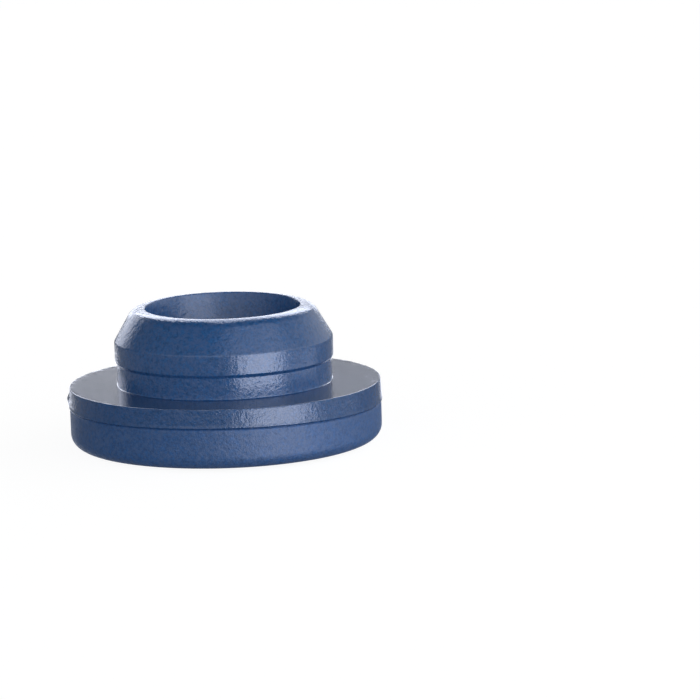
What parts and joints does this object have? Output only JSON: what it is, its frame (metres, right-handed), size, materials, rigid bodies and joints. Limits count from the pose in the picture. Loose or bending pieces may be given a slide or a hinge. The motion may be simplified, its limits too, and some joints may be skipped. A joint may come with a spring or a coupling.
{
  "type": "serum vial stopper",
  "caption": "Moulded rubber stopper for a 20 mm vial finish: flange with target ring and ribs, hollow plug with a sealing band and a tapered lead-in.",
  "frame": {"origin": "middle of the plane of the target ring's and ribs' crests, which the stopper stands on", "axes": "+Z along the stopper's axis, from the flange's top face towards the end of the plug; ribs along X and Y"},
  "size_m": [0.019, 0.019, 0.0085],
  "materials": {
    "rubber": "blue-grey moulded rubber with a fine grain, glossier on the sealing face and on the trimmed tier"
  },
  "bodies": {
    "root": {"stopper": "rubber"}
  },
  "joints": []
}
